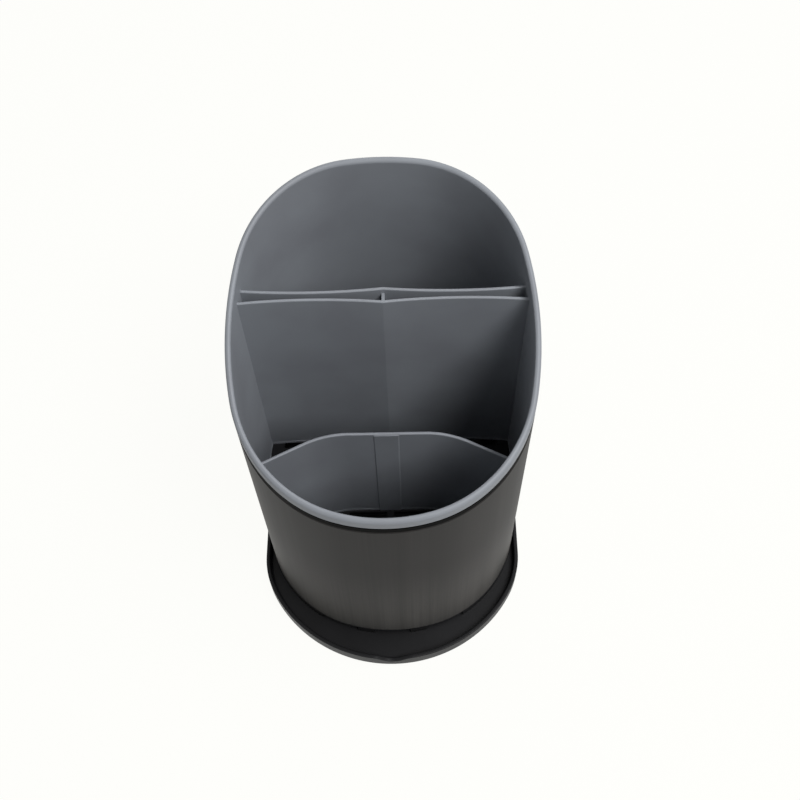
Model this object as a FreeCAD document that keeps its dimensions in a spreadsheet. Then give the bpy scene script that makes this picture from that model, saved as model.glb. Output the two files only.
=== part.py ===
import FreeCAD, Part
import math
import os
import Sketcher
from FreeCAD import Placement, Rotation, Vector

# Cutlery drainer: a slant-topped oval steel sleeve stands in a drip tray with a forward spout, and a
# moulded liner with knife slots and a curved divider drops into the sleeve.
# Drawn in millimetres with z = 0 at the edge that the sleeve stands on, then lifted to the worktop.
# Front is -Y. Every outline is an offset of the sleeve's oval or of the tray's outline.

SIZES = [
    # Oval of the sleeve's outside: side arcs, the bow of the front and back arcs across the width, and the
    # angles at which the side arcs hand over to the corner arcs
    ("sleeve_width", 127.0),
    ("sleeve_depth", 145.2),
    ("side_radius", 140.0),
    ("front_bow", 32.7),
    ("back_bow", 16.6),
    ("front_turn_angle", 10.4),
    ("back_turn_angle", 13.2),
    # Slanted rim: height on the oval's axis, angle, band depth and the shadow gap under the band
    ("rim_height", 153.8),
    ("slant_angle", 18.0),
    ("rim_band", 5.0),
    ("rim_gap", 1.3),
    ("rim_bevel", 0.8),
    # Walls and running clearances, from the outside inwards
    ("sleeve_wall", 0.7),
    ("liner_gap", 0.35),
    ("liner_wall", 1.55),
    ("spigot_gap", 0.3),
    ("spigot_wall", 1.5),
    ("spigot_height", 6.0),
    # Liner floor: ledge round each compartment, and the bead that the drain plate snaps over
    ("floor_height", 30.0),
    ("ledge_width", 1.8),
    ("ledge_depth", 1.6),
    ("bead_width", 0.6),
    ("bead_depth", 1.0),
    # Knife slots between two bowed walls
    ("divider_wall", 1.4),
    ("divider_root", 0.7),
    ("divider_bevel", 0.4),
    ("knife_plane", 20.3),
    ("knife_pinch", 1.8),
    ("knife_crown", 31.0),
    ("knife_radius", 310.0),
    ("knife_drop", 8.8),
    ("rib_drop", 2.6),
    # Curved front divider with a raised strip down its middle
    ("front_plane", 20.2),
    ("front_drop", 40.8),
    ("bend_start", 19.0),
    ("bend_radius", 28.0),
    ("wing_angle", 28.0),
    ("strip_width", 11.2),
    ("strip_relief", 0.5),
    ("strip_drop", 2.0),
    # Drain plate and its slots
    ("plate_depth", 2.2),
    ("plate_gap", 0.15),
    ("plate_border", 6.0),
    ("slot_width", 4.0),
    ("slot_step", 8.0),
    ("web_width", 3.0),
    ("web_step", 22.0),
    # Drip tray: step outside the sleeve, forward bill, sloped floor
    ("tray_step", 0.6),
    ("tray_wall", 2.0),
    ("tray_height", 8.6),
    ("tray_bevel", 0.4),
    ("tray_foot_bevel", 0.8),
    ("seat_root", 2.0),
    ("bill_overhang", 14.1),
    ("bill_depth", 54.0),
    ("bill_corner", 41.0),
    ("floor_lift", 4.6),
    ("floor_slope", 1.5),
    ("floor_wall", 2.2),
    ("recess_margin", 4.0),
    ("window_width", 18.0),
    ("window_step", 26.0),
    ("window_bridge", 1.2),
    ("window_reach", 18.0),
    ("spout_radius", 9.0),
    ("spout_shoulder", 6.0),
    ("spout_depth", 3.2),
    # Non-slip feet
    ("foot_diameter", 12.0),
    ("foot_depth", 2.2),
    ("foot_proud", 1.0),
    ("foot_bevel", 0.4),
    ("foot_gap", 0.1),
    ("foot_boss", 17.0),
    ("foot_inset_side", 25.5),
    ("foot_inset_front", 26.6),
    ("foot_inset_rear", 28.6),
]
# Sizes that follow from the ones above, kept in a second sheet
DERIVED = [
    ("front_radius", "((Sizes.sleeve_width / 2)^2 + Sizes.front_bow^2) / (2 * Sizes.front_bow)"),
    ("back_radius", "((Sizes.sleeve_width / 2)^2 + Sizes.back_bow^2) / (2 * Sizes.back_bow)"),
    ("tip_radius", "((Sizes.sleeve_width / 2 - Sizes.bill_corner)^2 + Sizes.bill_depth^2"
                   " - Sizes.bill_corner^2) / (2 * (Sizes.bill_depth - Sizes.bill_corner))"),
    ("bill_line", "Sizes.sleeve_depth / 2 + Sizes.bill_overhang - Sizes.bill_depth"),
    ("stock", "Sizes.rim_height + Sizes.sleeve_depth * tan(Sizes.slant_angle)"),
    ("knife_top", "Sizes.rim_height + Sizes.knife_plane * tan(Sizes.slant_angle) - Sizes.knife_drop"),
    ("front_top", "Sizes.rim_height - Sizes.front_plane * tan(Sizes.slant_angle) - Sizes.front_drop"),
    ("plate_top", "Sizes.floor_height - Sizes.ledge_depth"),
    ("plate_foot", "Sizes.floor_height - Sizes.ledge_depth - Sizes.plate_depth"),
    ("rib_reach", "Sizes.knife_pinch + Sizes.knife_radius"
                  " - sqrt(Sizes.knife_radius^2 - Sizes.knife_crown^2)"),
    ("floor_axis", "Sizes.floor_lift - Sizes.tray_height"),
    ("foot_side", "Sizes.sleeve_width / 2 - Sizes.foot_inset_side"),
    ("foot_front", "Sizes.sleeve_depth / 2 - Sizes.foot_inset_front"),
    ("foot_rear", "Sizes.sleeve_depth / 2 - Sizes.foot_inset_rear"),
]
SLOT_ROWS = 19
SLOT_WEBS = 7
WINDOWS = 3
EDGE_TOLERANCE = 0.01

doc = FreeCAD.newDocument("cutlery_drainer")


def fill_sheet(name, rows):
    """Write named cells to a new sheet and return their values."""
    sheet = doc.addObject("Spreadsheet::Sheet", name)
    for row, (alias, content) in enumerate(rows, start=1):
        sheet.set(f"A{row}", alias)
        sheet.set(f"B{row}", content)
        sheet.setAlias(f"B{row}", alias)
    doc.recompute()
    return {alias: float(sheet.get(alias)) for alias, _ in rows}


size = fill_sheet("Sizes", [(alias, str(number)) for alias, number in SIZES])
derived = fill_sheet("Derived", [(alias, "=" + content) for alias, content in DERIVED])
size.update(derived)

# Offsets from the sleeve's outside, as signed names of sizes
SLEEVE_OUT = []
SLEEVE_IN = ["-sleeve_wall"]
LINER_OUT = SLEEVE_IN + ["-liner_gap"]
LINER_IN = LINER_OUT + ["-liner_wall"]
ROOT = LINER_OUT + ["-divider_root"]
LEDGE_IN = LINER_IN + ["-ledge_width"]
BEAD_IN = LINER_IN + ["-bead_width"]
PLATE_OUT = LINER_IN + ["-plate_gap"]
GRILLE = PLATE_OUT + ["-plate_border"]
SPIGOT_OUT = SLEEVE_IN + ["-spigot_gap"]
SPIGOT_IN = SPIGOT_OUT + ["-spigot_wall"]
RECESS = SPIGOT_IN + ["-recess_margin"]
TRAY_OUT = ["+tray_step"]
TRAY_IN = TRAY_OUT + ["-tray_wall"]

# Point and axis numbers that sketches use
START, END, CENTRE = range(1, 4)
X_AXIS, Y_AXIS = range(-1, -3, -1)
ORIGIN = X_AXIS


def total(terms):
    """Value of a list of signed size names."""
    return sum(size[term[1:]] * (1 if term[0] == "+" else -1) for term in terms)


def formula(base, terms):
    """Expression for a size plus a list of signed size names."""
    sheet = "Derived" if base in derived else "Sizes"
    return f"{sheet}.{base}" + "".join(f" {term[0]} Sizes.{term[1:]}" for term in terms)


def new_body(name):
    return doc.addObject("PartDesign::Body", name)


def plane_sketch(body, name, role="XY_Plane", height=None):
    """Sketch on one of the body's own origin planes, lifted by an expression."""
    sketch = body.newObject("Sketcher::SketchObject", name)
    plane = next(item for item in body.Origin.OriginFeatures if item.Role == role)
    sketch.AttachmentSupport = [(plane, "")]
    sketch.MapMode = "FlatFace"
    if height:
        sketch.setExpression("AttachmentOffset.Base.z", height)
    return sketch


def bind(sketch, kind, *arguments, to=None):
    """Add a constraint, driven by an expression if one is given."""
    index = sketch.addConstraint(Sketcher.Constraint(kind, *arguments))
    if to:
        sketch.setExpression(f"Constraints[{index}]", to)
    return index


def pad(body, sketch, length, name):
    feature = body.newObject("PartDesign::Pad", name)
    feature.Profile = sketch
    feature.setExpression("Length", length)
    return feature


def arc(centre, radius, start, end):
    return Part.ArcOfCircle(Part.Circle(Vector(*centre, 0), Vector(0, 0, 1), radius), start, end)


def direction(here, there):
    return math.atan2(there[1] - here[1], there[0] - here[0])


def side_centre():
    """Centre of the right-hand side arc."""
    return size["sleeve_width"] / 2 - size["side_radius"], 0.0


def corner_arc(end_centre, end_radius, turn):
    """Centre and radius of the corner that joins the right-hand side arc, at an angle, to an end arc."""
    side = side_centre()
    lean = (math.cos(turn), math.sin(turn))
    apart = [side[axis] + size["side_radius"] * lean[axis] - end_centre[axis] for axis in (0, 1)]
    along = apart[0] * lean[0] + apart[1] * lean[1]
    radius = (end_radius ** 2 - apart[0] ** 2 - apart[1] ** 2) / (2 * (end_radius - along))
    reach = size["side_radius"] - radius
    return (side[0] + reach * lean[0], side[1] + reach * lean[1]), radius


def tangent_loop(sketch, arcs):
    """Add curves in turn, each tangent to the next, and close the loop."""
    first = sketch.GeometryCount
    for curve in arcs:
        sketch.addGeometry(curve, False)
    count = len(arcs)
    for step in range(count):
        bind(sketch, "Tangent", first + step, END, first + (step + 1) % count, START)
    return first


def back_half(grow):
    """Arcs of the oval's back half from the right side to the left, and the angle where they start."""
    turn_side = math.radians(size["back_turn_angle"])
    back = (0.0, size["sleeve_depth"] / 2 - size["back_radius"])
    corner, radius = corner_arc(back, size["back_radius"], turn_side)
    turn_back = direction(back, corner)
    mirrored = (-corner[0], corner[1])
    return turn_side, [
        arc(corner, radius + grow, turn_side, turn_back),
        arc(back, size["back_radius"] + grow, turn_back, math.pi - turn_back),
        arc(mirrored, radius + grow, math.pi - turn_back, math.pi - turn_side),
    ]


def bind_back(sketch, right, corner, back, mirrored, terms):
    bind(sketch, "PointOnObject", back, CENTRE, Y_AXIS)
    bind(sketch, "DistanceY", ORIGIN, START, back, CENTRE, size["sleeve_depth"] / 2 - size["back_radius"],
         to="Sizes.sleeve_depth / 2 - Derived.back_radius")
    bind(sketch, "Radius", back, size["back_radius"] + total(terms), to=formula("back_radius", terms))
    height = (size["side_radius"] + total(terms)) * math.sin(math.radians(size["back_turn_angle"]))
    bind(sketch, "DistanceY", ORIGIN, START, right, END, height,
         to=f"({formula('side_radius', terms)}) * sin(Sizes.back_turn_angle)")
    bind(sketch, "Equal", corner, mirrored)


def bind_sides(sketch, right, left, terms):
    across = size["sleeve_width"] / 2 - size["side_radius"]
    for index, sign in ((right, 1), (left, -1)):
        bind(sketch, "PointOnObject", index, CENTRE, X_AXIS)
        bind(sketch, "DistanceX", ORIGIN, START, index, CENTRE, sign * across,
             to=f"{sign} * (Sizes.sleeve_width / 2 - Sizes.side_radius)")
    bind(sketch, "Radius", right, size["side_radius"] + total(terms), to=formula("side_radius", terms))
    bind(sketch, "Equal", right, left)


def draw_oval(sketch, terms):
    """The sleeve's oval, offset by the given sizes, as eight tangent arcs."""
    grow = total(terms)
    side = side_centre()
    side_radius = size["side_radius"] + grow
    turn_side, back_arcs = back_half(grow)
    low_side = -math.radians(size["front_turn_angle"])
    front = (0.0, size["front_radius"] - size["sleeve_depth"] / 2)
    corner, radius = corner_arc(front, size["front_radius"], low_side)
    low_front = direction(front, corner)
    mirrored = (-corner[0], corner[1])
    right = tangent_loop(sketch, [
        arc(side, side_radius, low_side, turn_side),
        *back_arcs,
        arc((-side[0], 0.0), side_radius, math.pi - turn_side, math.pi - low_side),
        arc(mirrored, radius + grow, math.pi - low_side, math.pi - low_front),
        arc(front, size["front_radius"] + grow, math.pi - low_front, 2 * math.pi + low_front),
        arc(corner, radius + grow, low_front, low_side),
    ])
    back_corner, back_arc, back_mirrored, left = range(right + 1, right + 5)
    front_mirrored, front_arc, front_corner = range(right + 5, right + 8)
    bind_back(sketch, right, back_corner, back_arc, back_mirrored, terms)
    bind_sides(sketch, right, left, terms)
    bind(sketch, "PointOnObject", front_arc, CENTRE, Y_AXIS)
    bind(sketch, "DistanceY", ORIGIN, START, front_arc, CENTRE, front[1],
         to="Derived.front_radius - Sizes.sleeve_depth / 2")
    bind(sketch, "Radius", front_arc, size["front_radius"] + grow, to=formula("front_radius", terms))
    bind(sketch, "DistanceY", ORIGIN, START, right, START, side_radius * math.sin(low_side),
         to=f"-({formula('side_radius', terms)}) * sin(Sizes.front_turn_angle)")
    bind(sketch, "Equal", front_mirrored, front_corner)


def draw_tray_outline(sketch, terms):
    """Back half of the sleeve's oval, straight sides, and the rounded bill in front of the sleeve."""
    grow = total(terms)
    side = side_centre()
    side_radius = size["side_radius"] + grow
    turn_side, back_arcs = back_half(grow)
    line = -size["bill_line"]
    edge = size["sleeve_width"] / 2 + grow
    corner = (size["sleeve_width"] / 2 - size["bill_corner"], line)
    tip = (0.0, line - size["bill_depth"] + size["tip_radius"])
    low = direction(tip, corner)
    radius = size["bill_corner"] + grow
    right = tangent_loop(sketch, [
        arc(side, side_radius, 0, turn_side),
        *back_arcs,
        arc((-side[0], 0.0), side_radius, math.pi - turn_side, math.pi),
        Part.LineSegment(Vector(-edge, 0, 0), Vector(-edge, line, 0)),
        arc((-corner[0], line), radius, math.pi, math.pi - low),
        arc(tip, size["tip_radius"] + grow, math.pi - low, 2 * math.pi + low),
        arc(corner, radius, low, 0),
        Part.LineSegment(Vector(edge, line, 0), Vector(edge, 0, 0)),
    ])
    back_corner, back_arc, back_mirrored, left = range(right + 1, right + 5)
    left_line, left_corner, tip_arc, right_corner, right_line = range(right + 5, right + 10)
    bind_back(sketch, right, back_corner, back_arc, back_mirrored, terms)
    bind_sides(sketch, right, left, terms)
    for straight, curve in ((left_line, left_corner), (right_line, right_corner)):
        bind(sketch, "Vertical", straight)
        bind(sketch, "DistanceY", ORIGIN, START, curve, CENTRE, line, to="-Derived.bill_line")
    bind(sketch, "Radius", right_corner, radius, to=formula("bill_corner", terms))
    bind(sketch, "Equal", left_corner, right_corner)
    bind(sketch, "Radius", tip_arc, size["tip_radius"] + grow, to=formula("tip_radius", terms))


def oval_prism(name, outlines, foot, length, draw=draw_oval):
    """Upright prism over one outline, or a ring between two."""
    body = new_body(name)
    sketch = plane_sketch(body, name + "_plan", height=foot)
    for terms in outlines:
        draw(sketch, terms)
    pad(body, sketch, length, name + "_pad")
    return body


def slant_box(name, height, angle, depth="2 * Sizes.sleeve_depth"):
    """Block whose underside is the plane that crosses the oval's axis at a height and rises to the back."""
    block = doc.addObject("Part::Box", name)
    block.setExpression("Length", "2 * Sizes.sleeve_width")
    block.setExpression("Width", "3 * Sizes.sleeve_depth")
    block.setExpression("Height", depth)
    block.Placement = Placement(Vector(), Rotation(Vector(1, 0, 0), size[angle]))
    block.setExpression("Placement.Rotation.Angle", f"Sizes.{angle}")
    block.setExpression("Placement.Base.x", "-Sizes.sleeve_width")
    block.setExpression("Placement.Base.y", f"-1.5 * Sizes.sleeve_depth * cos(Sizes.{angle})")
    block.setExpression("Placement.Base.z", f"{height} - 1.5 * Sizes.sleeve_depth * sin(Sizes.{angle})")
    return block


def cut(name, base, tool):
    result = doc.addObject("Part::Cut", name)
    result.Base = base
    result.Tool = tool
    result.Refine = True
    return result


def combine(kind, name, shapes):
    result = doc.addObject(kind, name)
    result.Shapes = shapes
    result.Refine = True
    return result


def fuse(name, shapes):
    return combine("Part::MultiFuse", name, shapes)


def common(name, shapes):
    return combine("Part::MultiCommon", name, shapes)


def box(name, corner, sides):
    """Block from expressions for its low corner and its three sides."""
    block = doc.addObject("Part::Box", name)
    for axis, low in zip("xyz", corner):
        block.setExpression(f"Placement.Base.{axis}", low)
    for side, length in zip(("Length", "Width", "Height"), sides):
        block.setExpression(side, length)
    return block


def cylinder(name, radius, height, base):
    """Upright cylinder from expressions."""
    rod = doc.addObject("Part::Cylinder", name)
    rod.setExpression("Radius", radius)
    rod.setExpression("Height", height)
    for axis, low in zip("xyz", base):
        rod.setExpression(f"Placement.Base.{axis}", low)
    return rod


def bevelled(name, base, height, width, shortest=0.0):
    """Bevel the edges, from a shortest length up, that lie where a height function of a point is zero."""
    doc.recompute()
    result = doc.addObject("Part::Chamfer", name)
    result.Base = base
    picked = []
    for number, edge in enumerate(base.Shape.Edges, start=1):
        points = [vertex.Point for vertex in edge.Vertexes] + [edge.CenterOfMass]
        level = all(abs(height(point)) < EDGE_TOLERANCE for point in points)
        if level and edge.Length > shortest:
            picked.append((number, size[width], size[width]))
    result.Edges = picked
    return result


def settle(piece, label):
    """Name a finished piece and stand it on the worktop, centred front to back."""
    piece.Label = label
    piece.setExpression("Placement.Base.y", "Sizes.bill_overhang / 2")
    piece.setExpression("Placement.Base.z", "Sizes.tray_height + Sizes.foot_proud")
    return piece


def make_sleeve():
    """Thin steel oval tube, cut along the slant just under the liner's rim band."""
    tube = oval_prism("sleeve_tube", [SLEEVE_OUT, SLEEVE_IN], None, "Derived.stock")
    above = slant_box("above_sleeve", "Sizes.rim_height - Sizes.rim_band - Sizes.rim_gap", "slant_angle")
    return settle(cut("sleeve_cut", tube, above), "outer_sleeve")


def make_rim():
    """Slanted band of the liner, flush with the sleeve outside, with soft top edges."""
    ring = oval_prism("rim_ring", [SLEEVE_OUT, LINER_IN], None, "Derived.stock")
    slab = slant_box("rim_slab", "Sizes.rim_height - Sizes.rim_band", "slant_angle",
                     "Sizes.rim_band * cos(Sizes.slant_angle)")
    band = common("rim_band", [ring, slab])
    rise = math.tan(math.radians(size["slant_angle"]))

    def above_rim(point):
        return point.z - size["rim_height"] - rise * point.y

    return bevelled("rim_soft", band, above_rim, "rim_bevel")


def draw_bowed_wall(sketch, sign, away, near):
    """Right half of a knife wall: concentric arcs that bow towards the middle plane of the slot."""
    middle = size["knife_radius"]
    centre = (size["knife_crown"], size["knife_plane"] - sign * (size["knife_pinch"] + middle))
    far_end = size["sleeve_width"] / 2
    curves = []
    for offset, form in (away, near):
        reach = middle + offset
        lean = [math.asin((x - centre[0]) / reach) for x in (0, far_end)]
        angles = [math.pi / 2 - lean[1], math.pi / 2 - lean[0]]
        if sign < 0:
            angles = [-math.pi / 2 + lean[0], -math.pi / 2 + lean[1]]
        index = sketch.addGeometry(arc(centre, reach, *angles), False)
        bind(sketch, "Radius", index, reach, to="Sizes.knife_radius" + form)
        curves.append(index)
    inner, outer = curves
    for at_axis in (True, False):
        point = END if at_axis == (sign > 0) else START
        ends = [sketch.getPoint(index, point) for index in curves]
        line = sketch.addGeometry(Part.LineSegment(*ends), False)
        bind(sketch, "Coincident", line, START, inner, point)
        bind(sketch, "Coincident", line, END, outer, point)
        bind(sketch, "Vertical", line)
        if at_axis:
            bind(sketch, "PointOnObject", line, START, Y_AXIS)
        else:
            bind(sketch, "DistanceX", ORIGIN, START, line, START, far_end, to="Sizes.sleeve_width / 2")
    bind(sketch, "Coincident", inner, CENTRE, outer, CENTRE)
    bind(sketch, "DistanceX", ORIGIN, START, inner, CENTRE, centre[0], to="Sizes.knife_crown")
    bind(sketch, "DistanceY", ORIGIN, START, inner, CENTRE, centre[1],
         to=f"Sizes.knife_plane - {sign} * (Sizes.knife_pinch + Sizes.knife_radius)")


def mirrored(name, source):
    """Copy of a right-hand piece on the left."""
    copy = doc.addObject("Part::Mirroring", name)
    copy.Source = source
    copy.Normal = Vector(1, 0, 0)
    return copy


def wall_body(name, draw, top):
    """Soft-topped divider wall with a floor ledge along its foot, drawn on the right and mirrored."""
    body = new_body(name)
    wall_plan = plane_sketch(body, name + "_plan", height="Derived.plate_top")
    draw(wall_plan, 0.0, "")
    pad(body, wall_plan, f"Derived.{top} - Derived.plate_top", name + "_pad")
    ledge_plan = plane_sketch(body, name + "_ledge_plan", height="Derived.plate_top")
    draw(ledge_plan, size["ledge_width"], " + Sizes.ledge_width")
    pad(body, ledge_plan, "Sizes.ledge_depth", name + "_ledge")
    right = bevelled(name + "_soft", body, lambda point: point.z - size[top], "divider_bevel",
                    shortest=2 * size["divider_wall"])
    return [right, mirrored(name + "_left", right)]


def knife_wall(name, sign):
    half = size["divider_wall"] / 2

    def draw(sketch, extra, form):
        form_out = form.replace("+", "-")
        draw_bowed_wall(sketch, sign, (-half - extra, " - Sizes.divider_wall / 2" + form_out),
                        (half, " + Sizes.divider_wall / 2"))

    return wall_body(name, draw, "knife_top")


def draw_front_divider(sketch, extra, form):
    """Right half of the front divider: flat middle, a bend, and a straight wing that runs forwards."""
    half = size["divider_wall"] / 2 + extra
    half_form = "Sizes.divider_wall / 2" + form
    bend = (size["bend_start"], -size["front_plane"] - size["bend_radius"])
    turn = math.radians(90 - size["wing_angle"])
    wing = size["sleeve_width"] / 2
    ahead = Vector(math.sin(turn), -math.cos(turn), 0)
    rows = []
    for side, sign in ((half, "+"), (-half, "-")):
        radius = size["bend_radius"] + side
        flat_y = bend[1] + radius
        knee = Vector(bend[0] + radius * math.cos(turn), bend[1] + radius * math.sin(turn), 0)
        flat = sketch.addGeometry(Part.LineSegment(Vector(0, flat_y, 0), Vector(bend[0], flat_y, 0)), False)
        curve = sketch.addGeometry(arc(bend, radius, turn, math.pi / 2), False)
        straight = sketch.addGeometry(Part.LineSegment(knee, knee + ahead * wing), False)
        bind(sketch, "Tangent", flat, END, curve, END)
        bind(sketch, "Tangent", curve, START, straight, START)
        bind(sketch, "Horizontal", flat)
        bind(sketch, "PointOnObject", flat, START, Y_AXIS)
        bind(sketch, "Radius", curve, radius, to=f"Sizes.bend_radius {sign} ({half_form})")
        rows.append((flat, curve, straight))
    (back_flat, back_curve, back_wing), (flat, curve, front_wing) = rows
    bind(sketch, "Coincident", back_curve, CENTRE, curve, CENTRE)
    bind(sketch, "DistanceX", ORIGIN, START, curve, CENTRE, bend[0], to="Sizes.bend_start")
    bind(sketch, "DistanceY", ORIGIN, START, curve, CENTRE, bend[1],
         to="-Sizes.front_plane - Sizes.bend_radius")
    bind(sketch, "Angle", X_AXIS, START, back_wing, START, -math.radians(size["wing_angle"]),
         to="-Sizes.wing_angle")
    bind(sketch, "Parallel", back_wing, front_wing)
    bind(sketch, "Distance", back_wing, wing, to="Sizes.sleeve_width / 2")
    for first, second, point in ((back_flat, flat, START), (back_wing, front_wing, END)):
        ends = [sketch.getPoint(index, point) for index in (first, second)]
        cap = sketch.addGeometry(Part.LineSegment(*ends), False)
        bind(sketch, "Coincident", cap, START, first, point)
        bind(sketch, "Coincident", cap, END, second, point)
    bind(sketch, "Perpendicular", cap, back_wing)


def make_dividers():
    """Knife walls, their rib and the front divider, trimmed to end inside the liner's wall."""
    front_knife = knife_wall("front_knife_wall", 1)
    back_knife = knife_wall("back_knife_wall", -1)
    rib = box("knife_rib",
              ("-Sizes.divider_wall / 2", "Sizes.knife_plane - Derived.rib_reach", "Derived.plate_top"),
              ("Sizes.divider_wall", "2 * Derived.rib_reach",
               "Derived.knife_top - Sizes.rib_drop - Derived.plate_top"))
    divider = wall_body("front_divider", draw_front_divider, "front_top")
    strip = box("divider_strip",
                ("-Sizes.strip_width / 2", "-Sizes.front_plane - Sizes.divider_wall / 2 - Sizes.strip_relief",
                 "Derived.plate_top"),
                ("Sizes.strip_width", "Sizes.strip_relief + Sizes.divider_wall / 2",
                 "Derived.front_top - Sizes.strip_drop - Derived.plate_top"))
    walls = fuse("divider_walls", [*front_knife, *back_knife, rib, *divider, strip])
    core = oval_prism("liner_core", [ROOT], None, "Derived.stock")
    return common("dividers", [walls, core])


def make_liner():
    """One moulding: shell, rim band, dividers, floor ledge and the bead that holds the drain plate."""
    shell = oval_prism("liner_shell", [LINER_OUT, LINER_IN], "Sizes.spigot_height", "Derived.stock")
    above = slant_box("above_shell", "Sizes.rim_height - Sizes.rim_band / 2", "slant_angle")
    wall = cut("liner_wall_ring", shell, above)
    ledge = oval_prism("floor_ledge", [ROOT, LEDGE_IN], "Derived.plate_top", "Sizes.ledge_depth")
    bead = oval_prism("plate_bead", [ROOT, BEAD_IN], "Derived.plate_foot - Sizes.bead_depth",
                      "Sizes.bead_depth")
    whole = fuse("liner_moulding", [wall, make_rim(), make_dividers(), ledge, bead])
    return settle(whole, "liner")


def make_plate():
    """Drain plate that snaps in under the liner's ledge, with rows of slots crossed by webs."""
    blank = oval_prism("plate_blank", [PLATE_OUT], "Derived.plate_foot", "Sizes.plate_depth")
    area = oval_prism("grille_area", [GRILLE], "Derived.plate_foot", "Sizes.plate_depth")
    rows = []
    for row in range(SLOT_ROWS):
        step = row - (SLOT_ROWS - 1) / 2
        rows.append(box(f"slot_row_{row}",
                        ("-Sizes.sleeve_width / 2", f"{step} * Sizes.slot_step - Sizes.slot_width / 2",
                         "Derived.plate_foot"),
                        ("Sizes.sleeve_width", "Sizes.slot_width", "Sizes.plate_depth")))
    webs = []
    for web in range(SLOT_WEBS):
        step = web - (SLOT_WEBS - 1) / 2
        webs.append(box(f"slot_web_{web}",
                        (f"{step} * Sizes.web_step - Sizes.web_width / 2", "-Sizes.sleeve_depth / 2",
                         "Derived.plate_foot"),
                        ("Sizes.web_width", "Sizes.sleeve_depth", "Sizes.plate_depth")))
    slots = cut("slots", fuse("slot_rows", rows), fuse("slot_webs", webs))
    inside = common("grille_slots", [slots, area])
    return settle(cut("plate_cut", blank, inside), "drain_plate")


def tray_blank():
    """Solid tray with soft outer edges at the lip and at the foot."""
    body = oval_prism("tray_block", [TRAY_OUT], "-Sizes.tray_height", "Sizes.tray_height", draw_tray_outline)
    lip = bevelled("tray_lip", body, lambda point: point.z, "tray_bevel")
    return bevelled("tray_soft", lip, lambda point: point.z + size["tray_height"], "tray_foot_bevel")


def foot_places():
    for end, along in (("front", "-Derived.foot_front"), ("rear", "Derived.foot_rear")):
        for side, across in (("left", "-Derived.foot_side"), ("right", "Derived.foot_side")):
            yield f"foot_{end}_{side}", across, along


def make_underside():
    """Wedge-shaped hollow under the sloped floor, with a solid boss left round each foot."""
    block = oval_prism("underside_block", [RECESS], "-2 * Sizes.tray_height", "2 * Sizes.tray_height")
    above = slant_box("above_underside", "Derived.floor_axis - Sizes.floor_wall", "floor_slope")
    bosses = [cylinder(f"{name}_boss", "Sizes.foot_boss / 2", "2 * Sizes.tray_height",
                       (across, along, "-2 * Sizes.tray_height")) for name, across, along in foot_places()]
    return cut("underside", block, fuse("underside_keep", [above, *bosses]))


def make_spout():
    """Pouring notch: a rounded dip in the lip with a rolled shoulder on each side."""
    body = new_body("spout")
    sketch = plane_sketch(body, "spout_front", "XZ_Plane", "Sizes.sleeve_depth / 2 + Sizes.tray_step")
    dip, roll, depth = size["spout_radius"], size["spout_shoulder"], size["spout_depth"]
    high = size["tray_height"]
    middle = (0.0, dip - depth)
    edge = math.sqrt((dip + roll) ** 2 - (dip + roll - depth) ** 2)
    lean = direction(middle, (edge, -roll))
    left = sketch.addGeometry(arc((-edge, -roll), roll, -lean, math.pi / 2), False)
    low = sketch.addGeometry(arc(middle, dip, math.pi - lean, 2 * math.pi + lean), False)
    right = sketch.addGeometry(arc((edge, -roll), roll, math.pi / 2, math.pi + lean), False)
    corners = [(edge, 0), (edge, high), (-edge, high), (-edge, 0)]
    rise, top, fall = (sketch.addGeometry(Part.LineSegment(Vector(*one, 0), Vector(*two, 0)), False)
                       for one, two in zip(corners, corners[1:]))
    bind(sketch, "Tangent", left, START, low, START)
    bind(sketch, "Tangent", low, END, right, END)
    bind(sketch, "Coincident", right, START, rise, START)
    bind(sketch, "Coincident", rise, END, top, START)
    bind(sketch, "Coincident", top, END, fall, START)
    bind(sketch, "Coincident", fall, END, left, END)
    for curve, point in ((left, END), (right, START)):
        bind(sketch, "PointOnObject", curve, point, X_AXIS)
        bind(sketch, "Vertical", curve, point, curve, CENTRE)
    bind(sketch, "PointOnObject", low, CENTRE, Y_AXIS)
    bind(sketch, "DistanceY", ORIGIN, START, low, CENTRE, middle[1],
         to="Sizes.spout_radius - Sizes.spout_depth")
    bind(sketch, "Radius", low, dip, to="Sizes.spout_radius")
    bind(sketch, "Radius", left, roll, to="Sizes.spout_shoulder")
    bind(sketch, "Equal", left, right)
    bind(sketch, "Vertical", rise)
    bind(sketch, "Vertical", fall)
    bind(sketch, "Horizontal", top)
    bind(sketch, "DistanceY", ORIGIN, START, top, START, high, to="Sizes.tray_height")
    pad(body, sketch, "2 * Sizes.bill_overhang", "spout_pad")
    return body


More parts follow.
